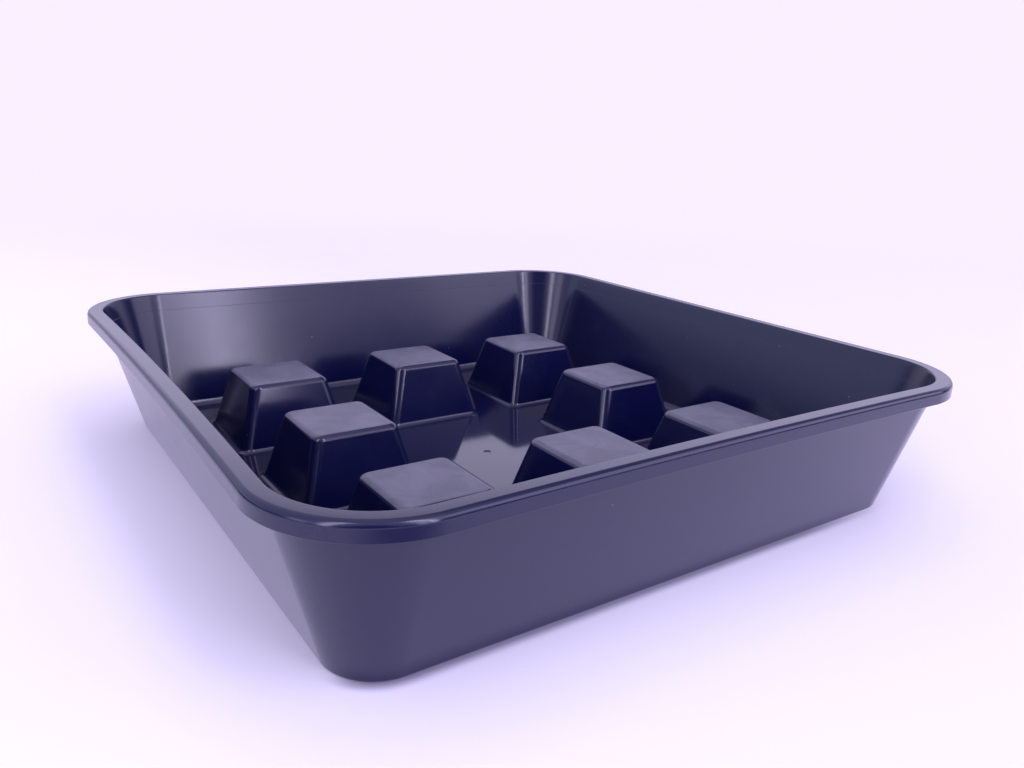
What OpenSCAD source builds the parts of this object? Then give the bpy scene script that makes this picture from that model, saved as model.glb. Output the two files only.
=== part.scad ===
// Square plant saucer: a deep moulded tray with a turned-down rim and eight raised pot rests.
// Millimetres. Origin at the bottom centre, +Z up, walls parallel to X and Y.

/* [Tray] */
// width over the rim, both ways
outer_width = 300; // [220:1:420]
// height from the table to the top of the rim
tray_height = 59.5; // [45:0.5:90]
// radius of the rim's outer corners, seen from above
corner_radius = 39; // [32:0.5:60]
// how far the base stands in from the rim's outer edge
base_inset = 21; // [14:0.5:28]
// wall thickness
wall = 2.1; // [1.5:0.1:3]
// floor thickness
floor_thickness = 2; // [1.5:0.1:3]
// rounding where the wall meets the table
heel_radius = 1; // [0.5:0.1:2.5]
// rounding where the wall meets the floor inside
floor_fillet = 5; // [2:0.25:6]

/* [Rim] */
// thickness of the flat flange
rim_thickness = 2.2; // [1.5:0.1:3]
// how far the flange stands out beyond the wall
rim_overhang = 5.3; // [4:0.1:7]
// width of the flange, from the opening to the outer edge
rim_width = 6.8; // [6.4:0.1:9]
// height of the turned-down lip, from the top of the rim
lip_height = 5.8; // [4.5:0.1:9]
// thickness of the lip
lip_thickness = 1.8; // [1.2:0.1:2.2]
// lean of the lip's outer face, in degrees
lip_draft = 1; // [0:0.25:3]
// rounding in the angle between flange and lip, underneath
under_rim_radius = 0.8; // [0.4:0.1:1.2]
// rounding along the outer top edge
rim_edge_radius = 2; // [0.6:0.1:2.2]
// rounding along the inner top edge
rim_inner_radius = 0.8; // [0.4:0.1:1.2]
// depth of the steeper band inside, from the top of the rim
band_depth = 7.8; // [6:0.1:12]
// width of the small ledge under that band
band_step = 0.1; // [0.1:0.1:0.8]

/* [Pot rests] */
// clear floor between the outer rests and the wall
rest_margin = 21.8; // [16:0.2:30]
// width of a rest's top
rest_top_width = 36.4; // [28:0.2:42]
// width of a rest where its sides meet the floor
rest_base_width = 48.8; // [44:0.2:56]
// height of a rest above the floor
rest_height = 29.2; // [18:0.2:36]
// rounding of the four sloping edges
rest_edge_radius = 3.6; // [2:0.1:4.4]
// rounding of the top edges
rest_top_radius = 2.8; // [1:0.1:3.4]
// rounding where a rest meets the floor
rest_cove = 3.6; // [1.2:0.1:4.4]
// wall thickness of a hollow rest
rest_wall = 2; // [1.5:0.1:2.6]

/* [Gate mark] */
// width of the moulding mark in the middle of the floor
gate_width = 3.6; // [2:0.1:6]
// depth of that mark
gate_depth = 0.5; // [0.2:0.1:0.8]

/* [Hidden] */
body_colour = "#3b3a55";
// steps in a full turn: large corners, small roundings
corner_steps = 96;
edge_steps = 48;
edge_facets = 6;

// corner centres, shared by every rounded corner of the tray
corner_at = outer_width / 2 - corner_radius;
base_r = corner_radius - base_inset;
flange_z = tray_height - rim_thickness;
wall_top_r = corner_radius - rim_overhang;
wall_slope = (wall_top_r - base_r) / flange_z;
wall_run = wall * sqrt(1 + wall_slope * wall_slope);
function wall_out(z) = base_r + wall_slope * z;
function wall_in(z) = wall_out(z) - wall_run;

// inside: a steeper band above a small ledge
rim_in_r = corner_radius - rim_width;
band_z = tray_height - band_depth;
band_r = wall_in(band_z) + band_step;
band_slope = (rim_in_r - band_r) / band_depth;
band_top_r = band_r + band_slope * (flange_z - band_z);
ledge_z = band_z - band_step;

// the floor plate ends where the fillet of the wall begins
floor_edge_r = wall_in(floor_thickness) - tangent_length([-1, 0], [wall_slope, 1], floor_fillet);

// lip: its outer face leans in a little towards the top
lip_lean = lip_height * tan(lip_draft);
lip_in_r = corner_radius - lip_thickness;

// pot rests
rest_slope = (rest_base_width - rest_top_width) / 2 / rest_height;
rest_z = floor_thickness + rest_height;
rest_run = rest_wall * sqrt(1 + rest_slope * rest_slope);
function rest_half(z) = rest_top_width / 2 + rest_slope * (rest_z - z);
// the corners of a foot are rounder than the edges above, so its cove ends inside them
foot_side_r = rest_edge_radius + rest_cove / 4;
foot_at = rest_base_width / 2 - foot_side_r;
foot_r = foot_side_r + tangent_length([1, 0], [-rest_slope, 1], rest_cove);
foot_in_r = foot_side_r - rest_wall / 4;
// distance between neighbouring rests, from the room left on the floor
rest_pitch = corner_at + floor_edge_r - rest_margin - foot_at - foot_r;
// a length that is sure to pass through a whole rest
rest_reach = 4 * rest_half(0);

// distance from a corner to where a rounding of radius r touches its two sides
function unit(v) = v / norm(v);
function half_angle(u, v) = acos(unit(u) * unit(v)) / 2;
function tangent_length(u, v, r) = r / tan(half_angle(u, v));

// what a rounding takes off, or a fillet fills in, at the corner p between its neighbours a and b;
// the disc is a hair larger than the rounding, so its edge crosses both sides cleanly
module corner_piece(a, p, b, r, steps = edge_steps) {
    reach = tangent_length(a - p, b - p, r);
    touch_a = p + reach * unit(a - p);
    touch_b = p + reach * unit(b - p);
    inward = unit(unit(a - p) + unit(b - p));
    spare = 0.2 * inward;
    difference() {
        polygon([touch_a, touch_a - spare, p - 2 * spare, touch_b - spare, touch_b]);
        translate(p + inward * r / sin(half_angle(a - p, b - p)))
            circle(r = 1.003 * r, $fn = steps);
    }
}

// carries a profile, drawn outward from the corner centres, round a square
module carry_round(at) {
    for (turn = [0 : 90 : 270])
        rotate(turn) {
            rotate([90, 0, 0])
                linear_extrude(height = 2 * at, center = true)
                    translate([at, 0])
                        children();
            translate([at, at, 0])
                rotate_extrude(angle = 90, $fn = corner_steps)
                    children();
        }
}

// square block with rounded corners, from its corner centres, radius and height
module round_block(at, r, height) {
    linear_extrude(height = height)
        square(2 * at, center = true);
    carry_round(at)
        square([r, height]);
}

module rim_profile() {
    inner_top = [rim_in_r, tray_height];
    outer_top = [corner_radius - lip_lean, tray_height];
    outer_low = [corner_radius, tray_height - lip_height];
    inner_low = [lip_in_r, tray_height - lip_height];
    under = [lip_in_r, flange_z];
    inner_under = [band_top_r, flange_z];
    difference() {
        polygon([inner_under, inner_top, outer_top, outer_low, inner_low, under]);
        corner_piece(inner_under, inner_top, outer_top, rim_inner_radius);
        corner_piece(inner_top, outer_top, outer_low, rim_edge_radius);
    }
    corner_piece(inner_low, under, inner_under, under_rim_radius);
}

module wall_profile() {
    under_floor = [floor_edge_r, 0];
    heel = [base_r, 0];
    outer_top = [wall_top_r, flange_z];
    inner_top = [band_top_r, flange_z];
    band_low = [band_r, band_z];
    ledge = [wall_in(ledge_z), ledge_z];
    inner_low = [wall_in(floor_thickness), floor_thickness];
    on_floor = [floor_edge_r, floor_thickness];
    difference() {
        polygon([under_floor, heel, outer_top, inner_top, band_low, ledge, inner_low, on_floor]);
        corner_piece(under_floor, heel, outer_top, heel_radius);
    }
    corner_piece(ledge, inner_low, on_floor, floor_fillet);
}

module rim() {
    color(body_colour)
        carry_round(corner_at)
            rim_profile();
}

module side_wall() {
    color(body_colour)
        carry_round(corner_at)
            wall_profile();
}

// places of the eight rests, as steps from the middle
rest_places = [
    [-1, -1], [0, -1], [1, -1],
    [-1, 0], [1, 0],
    [-1, 1], [0, 1], [1, 1]
];

module floor_plate() {
    color(body_colour)
        difference() {
            round_block(corner_at, floor_edge_r, floor_thickness);
            for (place = rest_places)
                translate([rest_pitch * place[0], rest_pitch * place[1], -floor_thickness])
                    round_block(foot_at, foot_r, 3 * floor_thickness);
            translate([0, 0, floor_thickness - gate_depth])
                cylinder(d1 = gate_width / 2, d2 = gate_width * 1.5, h = 2 * gate_depth, $fn = edge_steps);
        }
}

// side view of a rest, sharp at the foot
module rest_view(half_low, half_top, top, radius) {
    low_left = [-half_low, 0];
    low_right = [half_low, 0];
    top_left = [-half_top, top];
    top_right = [half_top, top];
    difference() {
        polygon([low_left, low_right, top_right, top_left]);
        corner_piece(low_right, top_right, top_left, radius);
        corner_piece(top_right, top_left, low_left, radius);
    }
}

// the part of a rest that two crossing side views share
module crossed_views(half_low, half_top, top, radius) {
    intersection_for (turn = [0, 90])
        rotate(turn)
            rotate([90, 0, 0])
                linear_extrude(height = rest_reach, center = true)
                    rest_view(half_low, half_top, top, radius);
}

// what the rounding of one sloping edge takes off a rest, in flat facets;
// the first and last facet run on past the sides, so they cross them cleanly
module edge_trim() {
    half = rest_top_width / 2;
    half_spread = atan(sqrt(1 + 2 * rest_slope * rest_slope));
    centre = [-rest_edge_radius / sin(half_spread), 0];
    facets = [
        for (i = [0 : edge_facets])
            let (turn = (180 - 2 * half_spread) * (i / edge_facets - 0.5))
            centre + rest_edge_radius * [cos(turn), sin(turn)]
    ];
    first = 2 * facets[0] - facets[1];
    last = 2 * facets[edge_facets] - facets[edge_facets - 1];
    between = [for (i = [1 : edge_facets - 1]) facets[i]];
    outside = [[1, rest_edge_radius], [1, -rest_edge_radius]];
    translate([half, half, rest_z])
        rotate([0, 0, 45])
            rotate([0, -atan(rest_slope * sqrt(2)), 0])
                linear_extrude(height = rest_reach, center = true)
                    polygon(concat([first], between, [last], outside));
}

module rest_foot_profile() {
    side_foot = [foot_side_r, floor_thickness];
    translate([foot_in_r, 0])
        square([foot_r - foot_in_r, floor_thickness]);
    corner_piece(side_foot + [1, 0], side_foot, side_foot + [-rest_slope, 1], rest_cove);
}

module rest(place) {
    color(body_colour)
        translate(rest_pitch * [place[0], place[1], 0]) {
            difference() {
                crossed_views(rest_half(0), rest_top_width / 2, rest_z, rest_top_radius);
                for (turn = [0 : 90 : 270])
                    rotate(turn)
                        edge_trim();
                translate([0, 0, -rest_wall])
                    crossed_views(
                        rest_half(-rest_wall) - rest_run,
                        rest_half(rest_z - rest_wall) - rest_run,
                        rest_z,
                        rest_top_radius / 2
                    );
            }
            carry_round(foot_at)
                rest_foot_profile();
        }
}

module rest_front_left() { rest([-1, -1]); }
module rest_front_middle() { rest([0, -1]); }
module rest_front_right() { rest([1, -1]); }
module rest_left_middle() { rest([-1, 0]); }
module rest_right_middle() { rest([1, 0]); }
module rest_back_left() { rest([-1, 1]); }
module rest_back_middle() { rest([0, 1]); }
module rest_back_right() { rest([1, 1]); }

rim();
side_wall();
floor_plate();
rest_front_left();
rest_front_middle();
rest_front_right();
rest_left_middle();
rest_right_middle();
rest_back_left();
rest_back_middle();
rest_back_right();
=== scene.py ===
import math

import bmesh
import bpy
from mathutils import Matrix, Vector


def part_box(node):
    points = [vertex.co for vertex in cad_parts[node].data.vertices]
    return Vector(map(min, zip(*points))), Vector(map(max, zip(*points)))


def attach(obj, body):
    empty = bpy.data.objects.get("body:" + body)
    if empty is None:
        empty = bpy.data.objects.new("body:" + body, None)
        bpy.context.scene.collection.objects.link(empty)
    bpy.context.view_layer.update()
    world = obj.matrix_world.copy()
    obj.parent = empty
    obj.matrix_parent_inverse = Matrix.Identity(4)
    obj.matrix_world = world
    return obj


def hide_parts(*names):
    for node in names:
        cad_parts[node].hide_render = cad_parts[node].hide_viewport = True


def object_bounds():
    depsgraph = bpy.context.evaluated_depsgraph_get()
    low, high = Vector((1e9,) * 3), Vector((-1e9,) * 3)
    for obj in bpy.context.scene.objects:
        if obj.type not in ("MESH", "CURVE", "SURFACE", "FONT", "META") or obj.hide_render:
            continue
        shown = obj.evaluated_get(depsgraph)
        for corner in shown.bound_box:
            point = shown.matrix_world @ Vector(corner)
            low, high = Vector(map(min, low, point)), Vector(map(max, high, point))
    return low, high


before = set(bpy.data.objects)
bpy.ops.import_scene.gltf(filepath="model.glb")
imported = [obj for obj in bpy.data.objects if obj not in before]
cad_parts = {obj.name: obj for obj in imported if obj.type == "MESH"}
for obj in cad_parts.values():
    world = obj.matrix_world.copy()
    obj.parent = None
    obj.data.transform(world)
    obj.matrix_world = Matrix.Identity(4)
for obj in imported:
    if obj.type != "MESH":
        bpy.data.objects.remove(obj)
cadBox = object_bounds()
print("frame loaded:", len(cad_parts), "nodes")

scene = bpy.context.scene
scene.view_settings.view_transform = "Standard"

mergeDistance = 0.0005    # mm
sharpAngle = 38           # degrees


def mm(*values):
    # millimetres to metres, one number or a point
    metres = [v * 0.001 for v in values]
    return metres[0] if len(metres) == 1 else Vector(metres)


def hexColour(code):
    # sRGB hex to the linear values that shaders take
    channels = [int(code[i:i + 2], 16) / 255 for i in (1, 3, 5)]
    linear = [c / 12.92 if c <= 0.04045 else ((c + 0.055) / 1.055) ** 2.4 for c in channels]
    return (*linear, 1.0)


def addNode(tree, kind, settings=None, **sockets):
    # one node with its settings; a socket takes a value, another node's output, or a node for its first live output
    node = tree.nodes.new(kind)
    for name, value in (settings or {}).items():
        setattr(node, name, value)
    for name, value in sockets.items():
        numbered = name.startswith("in") and name[2:].isdigit()
        socket = node.inputs[int(name[2:]) if numbered else name.replace("_", " ")]
        if isinstance(value, bpy.types.Node):
            value = next(output for output in value.outputs if output.enabled)
        if isinstance(value, bpy.types.NodeSocket):
            tree.links.new(value, socket)
        else:
            socket.default_value = value
    return node


# settings that many nodes share
soft = {"interpolation_type": "SMOOTHSTEP"}
multiply = {"operation": "MULTIPLY"}
dotProduct = {"operation": "DOT_PRODUCT"}
mixColour = {"data_type": "RGBA"}
mixValue = {"data_type": "FLOAT"}


def span(ends):
    # where a value starts and stops counting
    return {"From_Min": ends[0], "From_Max": ends[1]}


def touchLength(corner, before, after, radius):
    # how far from a corner a rounding of that radius touches its two sides
    angle = (Vector(before) - Vector(corner)).angle(Vector(after) - Vector(corner))
    return radius / math.tan(angle / 2)


def vertsOf(geom):
    return [g for g in geom if isinstance(g, bmesh.types.BMVert)]


def edgesOf(geom):
    return [g for g in geom if isinstance(g, bmesh.types.BMEdge)]


def sweepSquare(bm, geom, cornerAt, cornerSteps, sideSteps=1):
    # carries points or a section from the right side once round a square with rounded corners
    half = mm(cornerAt)
    side = bmesh.ops.spin(bm, geom=geom, axis=(0, 0, 1), dvec=(0, 2 * half / sideSteps, 0), angle=0, steps=sideSteps)
    bmesh.ops.spin(bm, geom=side["geom_last"], cent=(half, half, 0), axis=(0, 0, 1), angle=math.pi / 2,
                   steps=cornerSteps)
    quarter = bm.verts[:] + bm.edges[:] + bm.faces[:]
    for turn in (1, 2, 3):
        copy = bmesh.ops.duplicate(bm, geom=quarter)
        bmesh.ops.rotate(bm, verts=vertsOf(copy["geom"]), cent=(0, 0, 0),
                         matrix=Matrix.Rotation(turn * math.pi / 2, 3, "Z"))
    bmesh.ops.remove_doubles(bm, verts=bm.verts, dist=mm(mergeDistance))


def sweepSection(corners, cornerAt, cornerSteps, sideSteps):
    # corners are (radius from the corner centre, height, rounding, steps of the rounding)
    bm = bmesh.new()
    half = mm(cornerAt)
    verts = [bm.verts.new((half + mm(r), -half, mm(z))) for r, z, rounding, steps in corners]
    bm.faces.new(verts)
    for i, (r, z, rounding, steps) in enumerate(corners):
        if rounding:
            before, after = corners[i - 1], corners[(i + 1) % len(corners)]
            offset = mm(touchLength((r, z), before[:2], after[:2], rounding))
            bmesh.ops.bevel(bm, geom=[verts[i]], offset=offset, offset_type="OFFSET", affect="VERTICES",
                            segments=steps, profile=0.5, material=-1)
    bmesh.ops.delete(bm, geom=bm.faces[:], context="FACES_ONLY")
    sweepSquare(bm, bm.verts[:] + bm.edges[:], cornerAt, cornerSteps, sideSteps)
    bmesh.ops.recalc_face_normals(bm, faces=bm.faces)
    return bm


def toMesh(bm, name):
    mesh = bpy.data.meshes.new(name)
    bm.to_mesh(mesh)
    bm.free()
    return mesh


def finishPiece(bm, name, material):
    # makes the object, shades it and puts it in the place of its CAD node
    mesh = toMesh(bm, name)
    mesh.shade_smooth()
    mesh.set_sharp_from_angle(angle=math.radians(sharpAngle))
    mesh.materials.append(material)
    piece = bpy.data.objects.new(name + ".look", mesh)
    scene.collection.objects.link(piece)
    weighted = piece.modifiers.new("weighted normals", "WEIGHTED_NORMAL")    # keeps flats flat beside small roundings
    weighted.keep_sharp = True
    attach(piece, "root")
    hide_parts(name)


# Camera, at the photograph's viewing angle

viewpoint = {
    "place": (-205.1, -305.6, 147.9),   # mm
    "azimuth": -35.46,                  # degrees, from the front towards the right
    "elevation": 16.89,
    "roll": 2.77,
    "sensor": 36,                       # mm
    "lens": 29.08,                      # mm
    "nearest": 10,                      # mm
}


def placeCamera():
    data = bpy.data.cameras.new("camera")
    data.sensor_fit = "HORIZONTAL"
    data.sensor_width = viewpoint["sensor"]
    data.lens = viewpoint["lens"]
    data.clip_start = mm(viewpoint["nearest"])
    camera = bpy.data.objects.new("camera", data)
    scene.collection.objects.link(camera)
    turn = Matrix.Rotation(math.radians(viewpoint["azimuth"]), 4, "Z")
    tilt = Matrix.Rotation(math.radians(90 - viewpoint["elevation"]), 4, "X")
    roll = Matrix.Rotation(math.radians(viewpoint["roll"]), 4, "Z")
    camera.matrix_world = Matrix.Translation(mm(*viewpoint["place"])) @ turn @ tilt @ roll
    scene.camera = camera


placeCamera()
print("camera placed")


# Moulded polypropylene: a satin near-black blue that owes most of its look to soft reflections.
# The mould leaves a fine even grain, the cooling shell draws in a little, and handling leaves faint rubs.

plastic = {
    "colour": "#0b0f3e",
    "ior": 1.58,
    "roughness": {"wall": (0.15, 0.18), "floor": (0.06, 0.09), "rest": (0.14, 0.18)},
    "roughnessSpan": (0.3, 0.7),    # of the rubs' noise
    "grainSize": 0.35,              # mm; the real grain is finer, drawn this coarse to show
    "grainDepth": 0.002,            # mm
    "waveSize": 45,                 # mm, slow waves of the cooling shell
    "waveDepth": 0.05,              # mm
    "rubColour": "#131849",
    "rubSize": 14,                  # mm
    "rubSpan": (0.52, 0.85),
    "dustColour": "#8f8ca4",
    "dustSize": 0.5,                # mm
    "dustSpread": 12,               # mm
    "dustEdge": 0.6,                # share of a speck that is solid
}

# The rests' tops are scuffed dull by pots and painted pale as a mottled sheen where they face up and a little to the
# left, so the painted sheen reaches over their left edges.

scuffAndSheen = {
    "colours": ("#515169", "#67677f"),
    "size": 16,                     # mm
    "span": (0.35, 0.68),
    "roughness": 0.4,
    "way": (-0.35, 0.15, 0.92),
    "waySpan": (0.84, 0.90),
    "topZ": 31.2,                   # mm
    "reach": 1.5,                   # mm, above and below that
}


def mouldedPolypropylene(part):
    material = bpy.data.materials.new("moulded polypropylene " + part)
    material.use_nodes = True
    tree = material.node_tree
    tree.nodes.clear()
    coords = addNode(tree, "ShaderNodeTexCoord")
    place = coords.outputs["Object"]

    # rubs change the colour and the gloss a little
    rub = addNode(tree, "ShaderNodeTexNoise", Vector=place, Scale=1 / mm(plastic["rubSize"]), Detail=6.0, Roughness=0.7)
    rubbed = addNode(tree, "ShaderNodeMapRange", soft, Value=rub, **span(plastic["rubSpan"]))
    colour = addNode(tree, "ShaderNodeMix", mixColour, in0=rubbed, in6=hexColour(plastic["colour"]),
                     in7=hexColour(plastic["rubColour"]))
    low, high = plastic["roughness"][part]
    satin = addNode(tree, "ShaderNodeMapRange", Value=rub, To_Min=low, To_Max=high, **span(plastic["roughnessSpan"]))

    # scuffs, which dull the gloss, and a pale painted sheen, only where the surface faces their way at the height of
    # the tops
    facing = addNode(tree, "ShaderNodeVectorMath", dotProduct, in0=coords.outputs["Normal"], in1=scuffAndSheen["way"])
    flat = addNode(tree, "ShaderNodeMapRange", Value=facing, **span(scuffAndSheen["waySpan"]))
    height = addNode(tree, "ShaderNodeSeparateXYZ", Vector=place).outputs["Z"]
    nearTop = addNode(tree, "ShaderNodeMath", {"operation": "COMPARE"}, in0=height, in1=mm(scuffAndSheen["topZ"]),
                      in2=mm(scuffAndSheen["reach"]))
    scuffedAndSheened = addNode(tree, "ShaderNodeMath", multiply, in0=flat, in1=nearTop)
    blotch = addNode(tree, "ShaderNodeTexNoise", Vector=place, Scale=1 / mm(scuffAndSheen["size"]), Detail=5.0, Roughness=0.6,
                     Distortion=0.6)
    blotched = addNode(tree, "ShaderNodeMapRange", soft, Value=blotch, **span(scuffAndSheen["span"]))
    # the pale colours here are a painted sheen on the tops, mottled by the noise
    top = addNode(tree, "ShaderNodeMix", mixColour, in0=blotched, in6=hexColour(scuffAndSheen["colours"][0]),
                  in7=hexColour(scuffAndSheen["colours"][1]))
    wornAndSheened = addNode(tree, "ShaderNodeMix", mixColour, in0=scuffedAndSheened, in6=colour, in7=top)
    roughness = addNode(tree, "ShaderNodeMix", mixValue, in0=scuffedAndSheened, in2=satin, in3=scuffAndSheen["roughness"])

    # dust specks
    speckle = addNode(tree, "ShaderNodeTexVoronoi", Vector=place, Scale=1 / mm(plastic["dustSpread"]))
    reach = plastic["dustSize"] / 2 / plastic["dustSpread"]
    speck = addNode(tree, "ShaderNodeMapRange", Value=speckle, **span((reach, reach * plastic["dustEdge"])))
    dusty = addNode(tree, "ShaderNodeMix", mixColour, in0=speck, in6=wornAndSheened, in7=hexColour(plastic["dustColour"]))

    wave = addNode(tree, "ShaderNodeTexNoise", Vector=place, Scale=1 / mm(plastic["waveSize"]), Detail=1.0)
    waveBump = addNode(tree, "ShaderNodeBump", Strength=1.0, Distance=mm(plastic["waveDepth"]), Height=wave)
    grain = addNode(tree, "ShaderNodeTexNoise", Vector=place, Scale=1 / mm(plastic["grainSize"]), Detail=2.0)
    grainBump = addNode(tree, "ShaderNodeBump", Strength=1.0, Distance=mm(plastic["grainDepth"]), Height=grain,
                        Normal=waveBump)
    shader = addNode(tree, "ShaderNodeBsdfPrincipled", Base_Color=dusty, Roughness=roughness, IOR=plastic["ior"],
                     Normal=grainBump)
    addNode(tree, "ShaderNodeOutputMaterial", Surface=shader)
    return material


wallPlastic, floorPlastic, restPlastic = (mouldedPolypropylene(part) for part in plastic["roughness"])
print("plastic mixed")


# The tray: rim and wall are one section each, carried round the square

tray = {    # mm
    "cornerRadius": 39,       # of the rim's outer corners
    "baseInset": 21.0,
    "wall": 2.1,
    "floor": 2.0,
    "heelRadius": 1.0,
    "floorFillet": 5.0,
    "filletShare": 0.93,      # the drawn fillet stops short, for a flat strip beside the floor
    "rimThickness": 2.2,
    "rimOverhang": 5.3,
    "rimWidth": 6.8,
    "lipHeight": 5.8,
    "lipThickness": 1.8,
    "lipDraft": 1.0,          # degrees
    "rimEdge": 2.0,
    "rimInnerEdge": 0.8,
    "underRim": 0.8,
    "lipEdge": 0.3,
    "bandDepth": 7.8,
    "bandStep": 0.1,
    "ledgeEdge": 0.1,
    "drawIn": 1.4,            # the long sides draw in towards their middles as the shell cools
    "cornerSteps": 36,
    "sideSteps": 24,
}
height = cadBox[1].z * 1000
cornerAt = cadBox[1].x * 1000 - tray["cornerRadius"]
baseR = tray["cornerRadius"] - tray["baseInset"]
flangeZ = height - tray["rimThickness"]
wallTopR = tray["cornerRadius"] - tray["rimOverhang"]
wallSlope = (wallTopR - baseR) / flangeZ
wallRun = tray["wall"] * math.hypot(1, wallSlope)


def wallIn(z):
    # the wall's inner face at that height
    return baseR + wallSlope * z - wallRun


rimInR = tray["cornerRadius"] - tray["rimWidth"]
bandZ = height - tray["bandDepth"]
bandR = wallIn(bandZ) + tray["bandStep"]
bandTopR = bandR + (rimInR - bandR) / tray["bandDepth"] * (flangeZ - bandZ)
ledgeZ = bandZ - tray["bandStep"]
fillet = touchLength((0, 0), (-1, 0), (wallSlope, 1), tray["floorFillet"])
floorEdgeR = wallIn(tray["floor"]) - fillet


def drawSidesIn(bm):
    # the front and left sides, more so higher up; the floor keeps the foot straight
    half = mm(cornerAt)
    for v in bm.verts:
        x, y, z = v.co
        inward = mm(tray["drawIn"]) * z / mm(height)
        if y < -half and abs(x) < half:
            v.co.y += inward * (1 - (x / half) ** 2)
        if x < -half and abs(y) < half:
            v.co.x += inward * (1 - (y / half) ** 2)


def makeTrayPiece(name, section):
    bm = sweepSection(section, cornerAt, tray["cornerSteps"], tray["sideSteps"])
    drawSidesIn(bm)
    finishPiece(bm, name, wallPlastic)


def makeRim():
    lipLow = height - tray["lipHeight"]
    lipInR = tray["cornerRadius"] - tray["lipThickness"]
    lean = tray["lipHeight"] * math.tan(math.radians(tray["lipDraft"]))
    makeTrayPiece("rim", [
        (bandTopR, flangeZ, 0, 0),
        (rimInR, height, tray["rimInnerEdge"], 5),
        (tray["cornerRadius"] - lean, height, tray["rimEdge"], 8),
        (tray["cornerRadius"], lipLow, tray["lipEdge"], 3),
        (lipInR, lipLow, tray["lipEdge"], 3),
        (lipInR, flangeZ, tray["underRim"], 4),
    ])


def makeWall():
    makeTrayPiece("side_wall", [
        (floorEdgeR, 0, 0, 0),
        (baseR, 0, tray["heelRadius"], 6),
        (wallTopR, flangeZ, 0, 0),
        (bandTopR, flangeZ, 0, 0),
        (bandR, bandZ, tray["ledgeEdge"], 3),
        (wallIn(ledgeZ), ledgeZ, tray["ledgeEdge"], 3),
        (wallIn(tray["floor"]), tray["floor"], tray["floorFillet"] * tray["filletShare"], 10),
        (floorEdgeR, tray["floor"], 0, 0),
    ])


makeRim()
makeWall()
print("rim and wall made")


# Pot rests: hollow, with rounded sloping edges, rounded tops and a cove round the foot

rest = {    # mm
    "topWidth": 36.4,
    "baseWidth": 51.2,
    "wall": 2.0,
    "edgeRadius": 3.6,
    "edgeSteps": 8,
    "topRadius": 2.8,
    "topSteps": 6,
    "cove": 3.0,
    "coveSteps": 7,
    "coveShare": 0.86,      # the drawn cove stops short, for a flat strip beside the floor
    "insideSteps": 3,
    "sink": 0.12,           # the tops draw in a little as they cool
    "sinkRings": ((0.95, 0.02), (0.8, 0.3), (0.6, 0.35), (0.3, 0.3)),   # size against the ring before, share of sink
}
restNodes = [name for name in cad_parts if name.startswith("rest_")]
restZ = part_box(restNodes[0])[1].z * 1000
restHeight = restZ - tray["floor"]
restSlope = (rest["baseWidth"] - rest["topWidth"]) / 2 / restHeight
footSideR = rest["edgeRadius"] + rest["cove"] / 4
footAt = rest["baseWidth"] / 2 - footSideR
coveTouch = touchLength((0, 0), (1, 0), (-restSlope, 1), rest["cove"])
footR = footSideR + coveTouch


def roundedLoop(cornerAt, radius, z, cornerSteps, sideSteps=1):
    bm = bmesh.new()
    start = bm.verts.new((mm(cornerAt + radius), -mm(cornerAt), mm(z)))
    sweepSquare(bm, [start], cornerAt, cornerSteps, sideSteps)
    return bm


def moveToNode(bm, name):
    low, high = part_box(name)
    bmesh.ops.translate(bm, verts=bm.verts, vec=((low.x + high.x) / 2, (low.y + high.y) / 2, 0))


def addIn(bm, other, name):
    # puts another bmesh into this one
    mesh = toMesh(other, name)
    bm.from_mesh(mesh)
    bpy.data.meshes.remove(mesh)


def raiseBlock(bm, face, rise, shrink):
    # lifts a face and draws its four corners in, so the rounding of the sloping edges stays the same
    lifted = bmesh.ops.extrude_face_region(bm, geom=[face])["geom"]
    for v in vertsOf(lifted):
        v.co += mm(-math.copysign(shrink, v.co.x), -math.copysign(shrink, v.co.y), rise)
    if face.is_valid:
        bmesh.ops.delete(bm, geom=[face], context="FACES_ONLY")
    return next(g for g in lifted if isinstance(g, bmesh.types.BMFace))


def bevelEdges(bm, edges, offset, segments):
    bmesh.ops.bevel(bm, geom=edges, offset=mm(offset), offset_type="OFFSET", affect="EDGES",
                    segments=segments, profile=0.5, material=-1, clamp_overlap=False)


def restInside():
    # the hollow under a rest, open at the table
    run = rest["wall"] * math.hypot(1, restSlope)
    radius = rest["edgeRadius"] - rest["wall"] / 2
    half = rest["baseWidth"] / 2 + restSlope * tray["floor"] - run
    bm = roundedLoop(half - radius, radius, 0, rest["edgeSteps"])
    face = bmesh.ops.contextual_create(bm, geom=bm.edges[:])["faces"][0]
    rise = restZ - rest["wall"]
    top = raiseBlock(bm, face, rise, restSlope * rise)
    bevelEdges(bm, list(top.edges), rest["topRadius"] / 2, rest["insideSteps"])
    return bm


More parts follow.
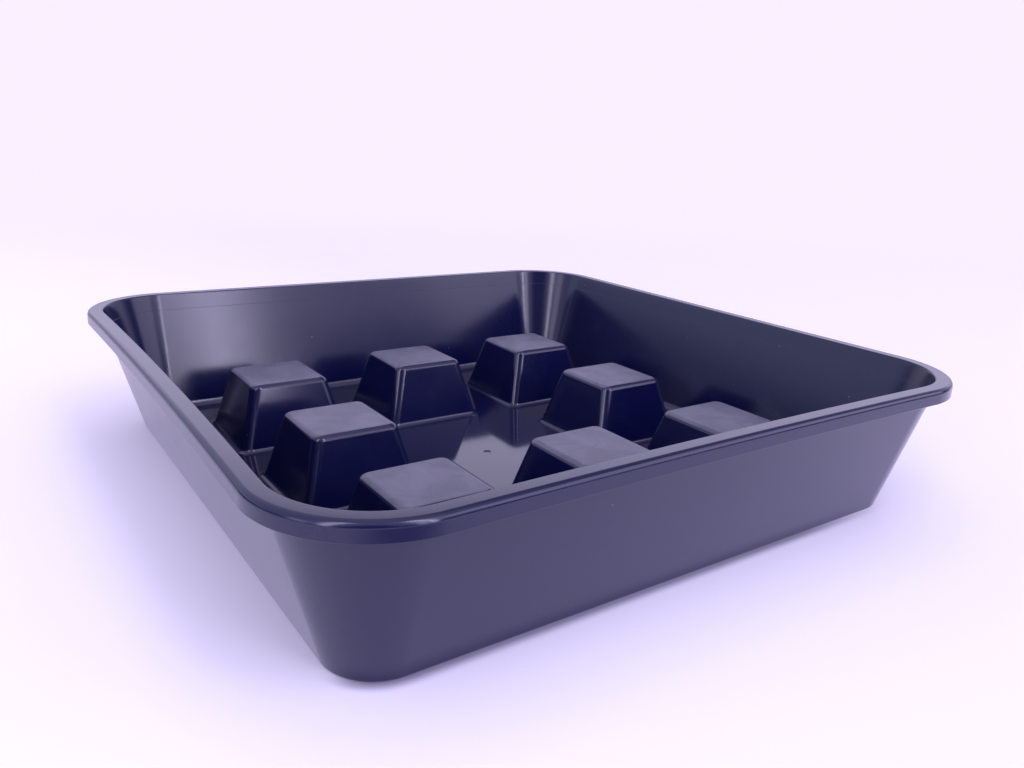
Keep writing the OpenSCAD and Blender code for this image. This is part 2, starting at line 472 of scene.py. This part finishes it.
def restShell():
    bm = roundedLoop(footAt, footR, tray["floor"], rest["edgeSteps"])
    foot = bmesh.ops.contextual_create(bm, geom=bm.edges[:])["faces"][0]
    bmesh.ops.inset_individual(bm, faces=[foot], thickness=mm(coveTouch), use_even_offset=True)
    footLoop = list(foot.edges)
    top = raiseBlock(bm, foot, restHeight, restSlope * restHeight)
    topTouch = touchLength((0, 0), (-1, 0), (restSlope, -1), rest["topRadius"])
    bevelEdges(bm, list(top.edges), topTouch, rest["topSteps"])
    bevelEdges(bm, footLoop, coveTouch * rest["coveShare"], rest["coveSteps"])
    top = max(bm.faces, key=lambda f: f.calc_center_median().z)
    for size, share in rest["sinkRings"]:
        bmesh.ops.inset_individual(bm, faces=[top], thickness=0)
        bmesh.ops.scale(bm, verts=top.verts, vec=(size, size, 1))
        bmesh.ops.translate(bm, verts=top.verts, vec=mm(0, 0, -share * rest["sink"]))
    skirt = bmesh.ops.extrude_edge_only(bm, edges=[e for e in bm.edges if e.is_boundary])["geom"]
    bmesh.ops.translate(bm, verts=vertsOf(skirt), vec=mm(0, 0, -tray["floor"]))
    addIn(bm, restInside(), "restInside")
    bmesh.ops.bridge_loops(bm, edges=[e for e in bm.edges if e.is_boundary])
    bmesh.ops.recalc_face_normals(bm, faces=bm.faces)
    return bm


def makeRests():
    for name in restNodes:
        bm = restShell()
        moveToNode(bm, name)
        finishPiece(bm, name, restPlastic)


makeRests()
print("rests made:", len(restNodes))


# The floor between the wall's fillet and the feet of the rests, with the mark of the moulding gate

gate = {
    "width": 3.6,       # mm
    "depth": 0.5,       # mm
    "steps": 24,
    "rings": ((0.8, 0.6), (0.6, 0.4)),    # size against the ring before, share of the depth
}


def makeFloor():
    bm = roundedLoop(cornerAt, floorEdgeR, 0, tray["cornerSteps"], tray["sideSteps"])
    for name in restNodes:
        loop = roundedLoop(footAt, footR, 0, rest["edgeSteps"])
        moveToNode(loop, name)
        addIn(bm, loop, "footLoop")
    outline = bm.edges[:]
    raised = bmesh.ops.extrude_edge_only(bm, edges=outline)["geom"]
    bmesh.ops.translate(bm, verts=vertsOf(raised), vec=mm(0, 0, tray["floor"]))
    bmesh.ops.triangle_fill(bm, edges=outline, use_beauty=True, normal=(0, 0, -1))
    bmesh.ops.create_circle(bm, segments=gate["steps"], radius=mm(gate["width"] / 2),
                            matrix=Matrix.Translation(mm(0, 0, tray["floor"])))
    mark = [e for e in bm.edges if e.is_wire]
    bmesh.ops.triangle_fill(bm, edges=edgesOf(raised) + mark, use_beauty=True, normal=(0, 0, 1))
    for size, share in gate["rings"]:
        dip = bmesh.ops.extrude_edge_only(bm, edges=mark)["geom"]
        mark = edgesOf(dip)
        bmesh.ops.scale(bm, verts=vertsOf(dip), vec=(size, size, 1))
        bmesh.ops.translate(bm, verts=vertsOf(dip), vec=mm(0, 0, -share * gate["depth"]))
    bmesh.ops.contextual_create(bm, geom=mark)
    bmesh.ops.remove_doubles(bm, verts=bm.verts, dist=mm(mergeDistance))
    bmesh.ops.recalc_face_normals(bm, faces=bm.faces)
    finishPiece(bm, "floor_plate", floorPlastic)


makeFloor()
print("floor made")


# Studio surround: pale where it is seen, and shaped for the gloss, which mirrors most of it.
# A way is a direction in the studio, and its span runs from 0, across it, to 1, right along it.

surround = {
    "pale": "#faf0ff",
    "light": 0.50,                    # what it gives the object
    "mirrored": "#e4dcff",            # what the gloss sees of it
    "upper": "#9a95a8",               # above the backdrop
    "upperWay": (0.94, 0.34, 0),
    "upperSpan": (0.40, 0.58),
    "upperRise": (0.44, 0.54),
    "cool": "#c6cfff",                # on the left
    "leftWay": (-0.8, 0.6, 0),
    "coolSpan": (0.75, 0.93),
    "room": "#3a405c",                # low down, where the pale backdrop doesn't reach
    "roomSpan": (0.3, 0.6),           # from the right to the left
    "roomRise": ((0.285, 0.20), (0.20, 0.13)),
    "backdropWay": (0.58, 0.815, 0),
    "backdropSpan": (0.6, 0.3),
    "gap": "#6f6a85",                 # between the soft boxes
    "gapWay": (-0.5, -0.86, 0.1),
    "gapSpan": (0.92, 0.98),
    "gapSquash": (1, 1, 0.45),
}


def lightSurround():
    world = bpy.data.worlds.new("pale surround")
    scene.world = world
    world.use_nodes = True
    tree = world.node_tree
    tree.nodes.clear()
    way = addNode(tree, "ShaderNodeTexCoord").outputs["Generated"]
    rise = addNode(tree, "ShaderNodeSeparateXYZ", Vector=way).outputs["Z"]

    # what the gloss sees
    rightward = addNode(tree, "ShaderNodeVectorMath", dotProduct, in0=way, in1=surround["upperWay"])
    upperSide = addNode(tree, "ShaderNodeMapRange", soft, Value=rightward, **span(surround["upperSpan"]))
    upperRise = addNode(tree, "ShaderNodeMapRange", soft, Value=rise, **span(surround["upperRise"]))
    upper = addNode(tree, "ShaderNodeMath", multiply, in0=upperRise, in1=upperSide)
    seen = addNode(tree, "ShaderNodeMix", mixColour, in0=upper, in6=hexColour(surround["mirrored"]),
                   in7=hexColour(surround["upper"]))
    leftward = addNode(tree, "ShaderNodeVectorMath", dotProduct, in0=way, in1=surround["leftWay"])
    cool = addNode(tree, "ShaderNodeMapRange", soft, Value=leftward, **span(surround["coolSpan"]))
    seen = addNode(tree, "ShaderNodeMix", mixColour, in0=cool, in6=seen, in7=hexColour(surround["cool"]))
    rightLow, leftLow = (addNode(tree, "ShaderNodeMapRange", soft, Value=rise, **span(ends))
                         for ends in surround["roomRise"])
    roomSide = addNode(tree, "ShaderNodeMapRange", soft, Value=leftward, **span(surround["roomSpan"]))
    low = addNode(tree, "ShaderNodeMix", mixValue, in0=roomSide, in2=rightLow, in3=leftLow)
    backward = addNode(tree, "ShaderNodeVectorMath", dotProduct, in0=way, in1=surround["backdropWay"])
    bare = addNode(tree, "ShaderNodeMapRange", soft, Value=backward, **span(surround["backdropSpan"]))
    room = addNode(tree, "ShaderNodeMath", multiply, in0=low, in1=bare)
    seen = addNode(tree, "ShaderNodeMix", mixColour, in0=room, in6=seen, in7=hexColour(surround["room"]))
    squat = addNode(tree, "ShaderNodeVectorMath", multiply, in0=way, in1=surround["gapSquash"])
    level = addNode(tree, "ShaderNodeVectorMath", {"operation": "NORMALIZE"}, in0=squat)
    gapward = addNode(tree, "ShaderNodeVectorMath", dotProduct, in0=level, in1=surround["gapWay"])
    gap = addNode(tree, "ShaderNodeMapRange", soft, Value=gapward, **span(surround["gapSpan"]))
    seen = addNode(tree, "ShaderNodeMix", mixColour, in0=gap, in6=seen, in7=hexColour(surround["gap"]))

    rays = addNode(tree, "ShaderNodeLightPath")
    pale = hexColour(surround["pale"])
    glossy = addNode(tree, "ShaderNodeBackground", Color=seen, Strength=1.0)
    plain = addNode(tree, "ShaderNodeBackground", Color=pale, Strength=1.0)
    lamp = addNode(tree, "ShaderNodeBackground", Color=pale, Strength=surround["light"])
    mirrored = addNode(tree, "ShaderNodeMixShader", in0=rays.outputs["Is Glossy Ray"], in1=lamp, in2=glossy)
    shown = addNode(tree, "ShaderNodeMixShader", in0=rays.outputs["Is Camera Ray"], in1=mirrored, in2=plain)
    addNode(tree, "ShaderNodeOutputWorld", Surface=shown)


# Matt pale card: an even, shadow-keeping floor that runs out into the surround

card = {
    "colour": "#ecebf8",
    "radius": 4000,                   # mm
    "steps": 96,
    "fade": (400, 1200),              # mm, where it turns into the surround
    "glowColour": "#dad1ff",
    "glow": (0.51, 0.35),             # own brightness where it is seen, from the left to the right
    "mirroredGlow": (0.42, 0.62),     # and where the gloss sees it
    "glowSpan": (-160, 160),          # mm
    "shadow": 46,                     # mm, reach of the tray's shade
    "contact": 5,                     # mm, reach of the painted contact shadow at the front of the tray's foot
    "contactShadowColour": "#9995ad",
    "contactSky": (1.0, 0.4),
    "contactFront": (-114, -127),     # mm
    "contactRight": (130, 60),        # mm
    "shadeColour": "#a5a0b4",
    "shadeAt": (-140, -290, 0),       # mm, a patch of shade at the front left, for the gloss alone
    "shadeSpan": (130, 30),           # mm
    "skySamples": 8,
}


def mattPaleCard():
    material = bpy.data.materials.new("matt pale card")
    material.use_nodes = True
    tree = material.node_tree
    tree.nodes.clear()
    place = addNode(tree, "ShaderNodeTexCoord").outputs["Object"]
    x, y = addNode(tree, "ShaderNodeSeparateXYZ", Vector=place).outputs[:2]
    rays = addNode(tree, "ShaderNodeLightPath")
    cameraRay, glossyRay = rays.outputs["Is Camera Ray"], rays.outputs["Is Glossy Ray"]
    samples = {"samples": card["skySamples"]}
    sky = addNode(tree, "ShaderNodeAmbientOcclusion", samples, Distance=mm(card["shadow"])).outputs["AO"]
    closeSky = addNode(tree, "ShaderNodeAmbientOcclusion", samples, Distance=mm(card["contact"])).outputs["AO"]

    # a painted contact shadow: the dark line at the front of the foot, which fades out towards the right
    atFront = addNode(tree, "ShaderNodeMapRange", soft, Value=y, **span(mm(*card["contactFront"])))
    atLeft = addNode(tree, "ShaderNodeMapRange", soft, Value=x, **span(mm(*card["contactRight"])))
    hidden = addNode(tree, "ShaderNodeMapRange", soft, Value=closeSky, **span(card["contactSky"]))
    front = addNode(tree, "ShaderNodeMath", multiply, in0=atFront, in1=atLeft)
    contactShadowMask = addNode(tree, "ShaderNodeMath", multiply, in0=front, in1=hidden)
    bare = addNode(tree, "ShaderNodeMath", {"operation": "SUBTRACT"}, in0=1.0, in1=contactShadowMask)
    # the card's colour darkens here to the painted contact shadow
    colour = addNode(tree, "ShaderNodeMix", mixColour, in0=contactShadowMask, in6=hexColour(card["colour"]),
                     in7=hexColour(card["contactShadowColour"]))

    # a little brightness of its own, less so in the tray's shade
    ownGlow, glossGlow = (addNode(tree, "ShaderNodeMapRange", Value=x, To_Min=left, To_Max=right,
                                  **span(mm(*card["glowSpan"])))
                          for left, right in (card["glow"], card["mirroredGlow"]))
    openSky = addNode(tree, "ShaderNodeMath", multiply, in0=sky, in1=bare)
    lit = addNode(tree, "ShaderNodeMath", multiply, in0=openSky, in1=ownGlow)
    shown = addNode(tree, "ShaderNodeMath", multiply, in0=cameraRay, in1=lit)
    mirrored = addNode(tree, "ShaderNodeMath", multiply, in0=glossyRay, in1=glossGlow)
    strength = addNode(tree, "ShaderNodeMath", {"operation": "ADD"}, in0=shown, in1=mirrored)
    matt = addNode(tree, "ShaderNodeBsdfDiffuse", Color=colour)
    glow = addNode(tree, "ShaderNodeEmission", Color=hexColour(card["glowColour"]), Strength=strength)
    glowing = addNode(tree, "ShaderNodeAddShader", in0=matt, in1=glow)

    # the patch of shade that the gloss sees
    fromShade = addNode(tree, "ShaderNodeVectorMath", {"operation": "DISTANCE"}, in0=place, in1=mm(*card["shadeAt"]))
    nearShade = addNode(tree, "ShaderNodeMapRange", soft, Value=fromShade, **span(mm(*card["shadeSpan"])))
    shade = addNode(tree, "ShaderNodeMath", multiply, in0=glossyRay, in1=nearShade)
    dark = addNode(tree, "ShaderNodeBsdfDiffuse", Color=hexColour(card["shadeColour"]))
    shaded = addNode(tree, "ShaderNodeMixShader", in0=shade, in1=glowing, in2=dark)

    # far off it is the surround's colour
    away = addNode(tree, "ShaderNodeVectorMath", {"operation": "LENGTH"}, in0=place)
    faded = addNode(tree, "ShaderNodeMapRange", soft, Value=away, **span(mm(*card["fade"])))
    looks = addNode(tree, "ShaderNodeMath", {"operation": "MAXIMUM"}, in0=cameraRay, in1=glossyRay)
    far = addNode(tree, "ShaderNodeEmission", Color=hexColour(surround["pale"]), Strength=looks)
    surface = addNode(tree, "ShaderNodeMixShader", in0=faded, in1=shaded, in2=far)
    addNode(tree, "ShaderNodeOutputMaterial", Surface=surface)
    return material


def layCard():
    bm = bmesh.new()
    bmesh.ops.create_circle(bm, cap_ends=True, segments=card["steps"], radius=mm(card["radius"]))
    mesh = toMesh(bm, "pale floor")
    mesh.materials.append(mattPaleCard())
    floor = bpy.data.objects.new("pale floor", mesh)
    scene.collection.objects.link(floor)


# Soft boxes: azimuth from the front towards the right, elevation, width and height in degrees, and radiance

lampDistance = 3.0    # m
lamps = {
    "right soft box": (14.4, 34, 5.2, 66, 3.4),
    "right soft box centre": (14.6, 34, 2.2, 66, 11.5),
    "right fill": (6.0, 34, 7, 66, 3.8),
    "front fill": (27.5, 41, 17, 49, 0.55),
    "left soft box": (-64, 34, 9, 66, 5.4),
    "far left soft box": (-84, 14, 16, 24, 1.5),
    "left wash": (-133, 17.5, 36, 13, 0.34),
    "side light": (50, 27, 34, 38, 1.5),
    "back light": (142, 21.5, 96, 15, 0.75),
}


def hangSoftBox(name, azimuth, elevation, wide, tall, radiance):
    data = bpy.data.lights.new(name, "AREA")
    data.shape = "RECTANGLE"
    data.size = 2 * lampDistance * math.tan(math.radians(wide / 2))
    data.size_y = 2 * lampDistance * math.tan(math.radians(tall / 2))
    data.energy = radiance * math.pi * data.size * data.size_y
    data.color = hexColour(surround["mirrored"])[:3]
    box = bpy.data.objects.new(name, data)
    scene.collection.objects.link(box)
    turn = Matrix.Rotation(math.radians(azimuth), 4, "Z") @ Matrix.Rotation(math.radians(90 - elevation), 4, "X")
    box.matrix_world = turn @ Matrix.Translation((0, 0, lampDistance))
    box.visible_camera = False


lightSurround()
layCard()
for name, aim in lamps.items():
    hangSoftBox(name, *aim)
print("studio lit:", len(lamps), "lamps")
